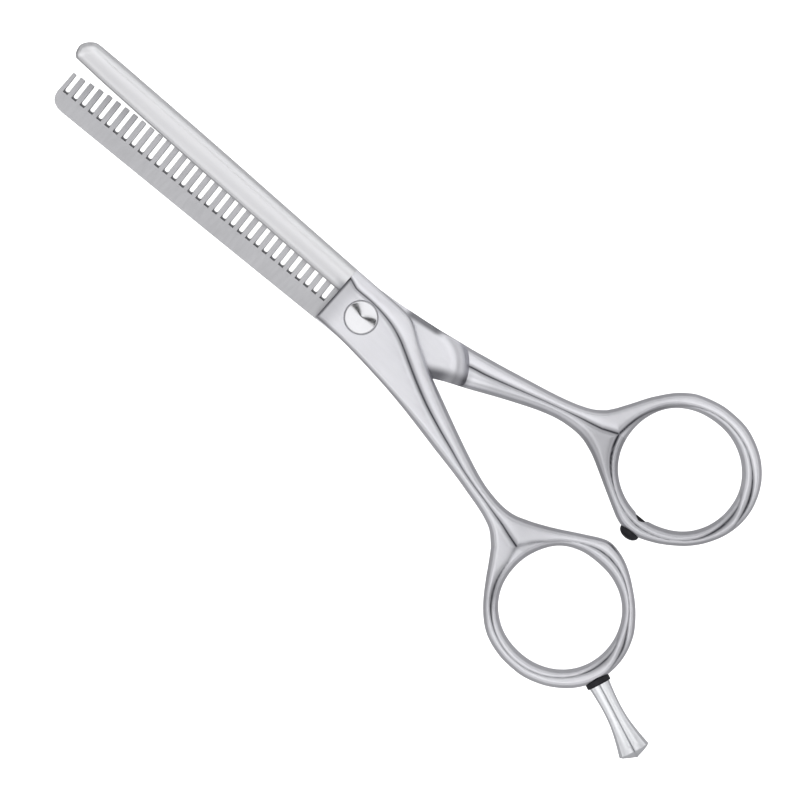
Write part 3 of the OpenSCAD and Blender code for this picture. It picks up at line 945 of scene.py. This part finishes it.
# ---------------------------------------------------------------- small pieces
def build_screw():
    """Pivot bolt: a head turned to a very flat cone, its shoulder and its threaded end."""
    head_flat = SCREW_R - SCREW_CORNER
    head = [(0, HEAD_TOP), (0.3, HEAD_TOP - 0.012), (head_flat, SCREW_EDGE + 0.05)]
    head += arc(head_flat, SCREW_EDGE - 0.23, SCREW_CORNER, math.pi / 2 - 0.25, 0, 7)
    under = HEAD_SEAT + 0.02
    shank = [(SCREW_R, under + 0.08), (SCREW_R - 0.08, under), (SHOULDER_R, under),
             (SHOULDER_R, THREAD_TOP + 0.1), (SHOULDER_R - 0.1, THREAD_TOP), (THREAD_R, THREAD_TOP),
             (THREAD_R, 0.2), (1.3, 0.02), (0, 0.02)]
    made = revolve("pivot_screw", head + shank, 160)
    return finish_mesh(made, "finger_half", ["pivot_bolt"], SCREW, 40)


def build_nut():
    """Tension nut: a dished disc with two pin holes and a notched edge."""
    profile = [(NUT_BORE_R, 0.2), (NUT_BORE_R + 0.2, 0.0), (NUT_R - 0.3, 0.0), (NUT_R - 0.08, 0.08),
               (NUT_R, 0.3), (NUT_R, NUT_TALL - 0.15), (NUT_R - 0.1, NUT_TALL), (2.15, NUT_TALL),
               (2.15, THREAD_TOP), (NUT_BORE_R, THREAD_TOP)]
    made = revolve("tension_nut_dial", profile, 144)
    cuts = []
    for x in (-PIN_HOLE_X, PIN_HOLE_X):
        hole = revolve("hole", [(0, -1), (0.5, -1), (0.5, 0.7), (0, 0.7)], 32)
        cuts.append(turn_mesh(hole, Matrix.Translation((x, 0, 0))))
    for i in range(NUT_NOTCHES):
        a = 2 * math.pi * (i + 0.5) / NUT_NOTCHES
        notch = revolve("notch", [(0, -1), (0.4, -1), (0.4, 0.7), (0, 0.7)], 24)
        out = NUT_R + 0.15
        cuts.append(turn_mesh(notch, Matrix.Translation((out * math.cos(a), out * math.sin(a), 0))))
    cut(made, join(cuts))
    return finish_mesh(made, "tension_nut", ["tension_nut"], NUT)


def make_oval(piece, depth):
    """Makes the part below a depth taller across the ring than along it."""
    for v in piece.data.vertices:
        if v.co.z < -depth + 0.01:
            v.co.y *= BUMPER_OVAL
    return piece


def build_bumper():
    """Rubber bumper: a domed head outside the ring, a stem, and an oval flange inside it."""
    end, depth = BUMPER_SEAT - BUMPER_END_Y, BUMPER_SEAT - BUMPER_FLANGE_Y
    dome = [(BUMPER_R * math.sin(a), BUMPER_H * (0.25 + 0.75 * math.cos(a)))
            for a in np.linspace(0, math.pi / 2, 14)]
    profile = dome + arc(BUMPER_R - 0.15, 0.15, 0.15, 0, -math.pi / 2, 4)
    profile += [(BUMPER_STEM_R, 0), (BUMPER_STEM_R, -depth), (BUMPER_FLANGE_R - 0.08, -depth),
                (BUMPER_FLANGE_R, -depth - 0.1), (BUMPER_FLANGE_R, -end + 0.15),
                (BUMPER_FLANGE_R - 0.15, -end), (0, -end)]
    made = make_oval(revolve("bumper_plug", profile, 64), depth)
    return finish_mesh(made, "thumb_half", ["bumper"], RUBBER, 50,
                       pose=thumb_pose() @ bumper_pose())


def build_gasket():
    """Rubber washer with a low lip round the tang's foot."""
    lip = 0.2
    profile = [(1.32, TANG_SEAT), (1.32, TANG_BASE), (1.96, TANG_BASE), (1.96, TANG_BASE + lip)]
    profile += arc(GASKET_R - 0.2, TANG_BASE + lip - 0.2, 0.2, math.pi / 2, 0)
    profile += arc(GASKET_R - 0.5, TANG_SEAT + 0.5, 0.5, 0, -math.pi / 2)
    made = revolve("tang_gasket", profile, 72)
    return finish_mesh(made, "finger_half", ["tang_washer"], RUBBER, 60,
                       pose=tang_pose() @ Matrix.Rotation(math.pi / 2, 4, "Y"))


def tang_section(w):
    """Corners of the tang's section: a flat bar with low roofs, a crease along each, and soft sides."""
    quarter = [(0.0, 0.80 * w), (0.14, 0.86 * w), (0.3, 0.88 * w), (0.55 * w, 0.83 * w),
               (0.80 * w, 0.7 * w), (0.93 * w, 0.5 * w), (0.985 * w, 0.25 * w), (1.0 * w, 0.0)]
    up = quarter[::-1] + [(-y, z) for y, z in quarter[1:]]
    return up + [(y, -z) for y, z in up[::-1][1:-1]]


def build_tang():
    """The flared tang and its blunt four-sided point."""
    point_shares = ((0.06, 0.985), (0.35, 0.86), (0.85, 0.46), (1.15, 0.15))
    profile = curve(TANG_PROFILE, 8)
    bm = bmesh.new()
    rings = []
    for s, w in profile:
        rings.append([bm.verts.new((TANG_BASE + s, y, z)) for y, z in tang_section(w)])
    end = profile[-1]
    for s, share in point_shares:
        rings.append([bm.verts.new((TANG_BASE + end[0] + s, y * share, z * share))
                      for y, z in tang_section(end[1])])
    n = len(rings[0])
    for a, b in zip(rings[:-1], rings[1:]):
        for k in range(n):
            bm.faces.new((a[k], a[(k + 1) % n], b[(k + 1) % n], b[k]))
    bm.faces.new(rings[0])
    point = bm.verts.new((TANG_BASE + TANG_POINT, 0, 0))
    for k in range(n):
        bm.faces.new((rings[-1][k], rings[-1][(k + 1) % n], point))
    made = from_bmesh("finger_tang", bm)
    # Painted shade along the tang's middle crease, fainter towards its point
    x, y, _ = points_of(made).T
    along = np.where(x < TANG_BASE + 13.1, 1, 0.3)
    set_shade(made, 0.6 * along * np.exp(-np.abs(y) / 0.16))
    return finish_mesh(made, "tang", ["tang"], TANG, 24, pose=tang_pose())


def carry_over(node, material):
    """Keeps a CAD node as it is, with a better material."""
    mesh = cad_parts[node].data
    mesh.materials.clear()
    mesh.materials.append(material)


build_finger_half()
build_thumb_half()
build_comb()
build_screw()
build_nut()
build_bumper()
build_gasket()
build_tang()
carry_over("pivot_bush", POLYMER)
carry_over("spring_washer", SPRING)


# ---------------------------------------------------------------- studio
VIEW_TURN = math.radians(41.8)                  # the shears' slant in the picture
VIEW_CENTRE = Vector((-14.46, 6.13, MID)) * MM
VIEW_WIDTH = 137.93 * MM
CAMERA_FAR = 1.6
LIGHT_FAR = 3.0
FLAG_LOW, FLAG_HIGH = -0.53, -0.17              # dark strip between the two soft boxes, in metres
PANEL_WIDE, PANEL_TALL = 6.4, 2.6


def aim(thing, right, up, at):
    """Puts a camera or light at a place, with the given directions to its right and upwards."""
    back = right.cross(up)
    thing.matrix_world = Matrix.Translation(at) @ Matrix((right, up, back)).transposed().to_4x4()


def build_camera():
    """Long lens straight above the shears, turned so that they lie slanted in the picture."""
    data = bpy.data.cameras.new("camera")
    data.sensor_width = 36
    data.lens = data.sensor_width * CAMERA_FAR / VIEW_WIDTH
    data.clip_end = 20
    made = bpy.data.objects.new("camera", data)
    bpy.context.scene.collection.objects.link(made)
    right = Vector((-math.cos(VIEW_TURN), -math.sin(VIEW_TURN), 0))
    up = Vector((math.sin(VIEW_TURN), -math.cos(VIEW_TURN), 0))
    aim(made, right, up, VIEW_CENTRE + Vector((0, 0, CAMERA_FAR)))
    bpy.context.scene.camera = made


def build_light(name, x0, x1, y0, y1, radiance):
    """Rectangular soft box overhead, between two places in X and Y, in metres."""
    data = bpy.data.lights.new(name, "AREA")
    data.shape = "RECTANGLE"
    data.size, data.size_y = x1 - x0, y1 - y0
    data.energy = radiance * math.pi * data.size * data.size_y
    made = bpy.data.objects.new(name, data)
    bpy.context.scene.collection.objects.link(made)
    aim(made, Vector((1, 0, 0)), Vector((0, 1, 0)),
        Vector(((x0 + x1) / 2, (y0 + y1) / 2, LIGHT_FAR)))


def build_panel(name, turn, radiance):
    """Upright soft panel that faces the shears from one side, in metres."""
    data = bpy.data.lights.new(name, "AREA")
    data.shape = "RECTANGLE"
    data.size, data.size_y = PANEL_WIDE, PANEL_TALL
    data.energy = radiance * math.pi * data.size * data.size_y
    made = bpy.data.objects.new(name, data)
    bpy.context.scene.collection.objects.link(made)
    outward = Vector((math.cos(turn), math.sin(turn), 0))
    right = Vector((math.sin(turn), -math.cos(turn), 0))
    back = (outward + Vector((0, 0, 0.35))).normalized()
    aim(made, right, back.cross(right), outward * 3.2 + Vector((0, 0, 1.35)))


def build_flag():
    """Dark strip of cloth between the soft boxes."""
    made = Nodes("dark_cloth")
    weave = made.noise(300, 4)
    made.link(made.colours(weave, (0.01, 0.01, 0.01), (0.02, 0.02, 0.02)),
              made.shader.inputs["Base Color"])
    bm = bmesh.new()
    bmesh.ops.create_grid(bm, x_segments=2, y_segments=2, size=0.5)
    flag = from_bmesh("flag", bm)
    flag.scale = (3.6, FLAG_HIGH - FLAG_LOW, 1)
    flag.location = (0, (FLAG_LOW + FLAG_HIGH) / 2, LIGHT_FAR)
    flag.data.materials.append(made.material)


def build_floor():
    """Plain pale floor just below the nut's outer face."""
    made = Nodes("pale_floor")
    grain = made.noise(30, 3)
    made.link(made.colours(grain, (0.94, 0.94, 0.94), (0.96, 0.96, 0.96)),
              made.shader.inputs["Base Color"])
    made.shader.inputs["Roughness"].default_value = 0.9
    made.shader.inputs["Specular IOR Level"].default_value = 0.1
    made.shader.inputs["Emission Color"].default_value = (1, 1, 1, 1)
    made.shader.inputs["Emission Strength"].default_value = 1.0
    bm = bmesh.new()
    bmesh.ops.create_grid(bm, x_segments=4, y_segments=4, size=6)
    floor = from_bmesh("floor", bm)
    floor.location.z = -0.0003
    floor.data.materials.append(made.material)
    floor.visible_glossy = False


def build_world():
    """Even grey surroundings."""
    world = bpy.data.worlds.new("studio")
    bpy.context.scene.world = world
    world.use_nodes = True
    world.node_tree.nodes["Background"].inputs["Color"].default_value = (0.4, 0.4, 0.41, 1)
    world.node_tree.nodes["Background"].inputs["Strength"].default_value = 1.0


build_camera()
build_light("soft_box_front", -1.8, 1.8, FLAG_HIGH, 2.0, 0.9)
build_light("soft_box_back", -1.8, 1.8, -1.8, FLAG_LOW, 0.9)
build_flag()
for turn in range(4):
    build_panel(f"side_panel_{turn + 1}", math.pi / 2 * turn, 0.46)
build_floor()
build_world()
bpy.context.scene.view_settings.view_transform = "Standard"
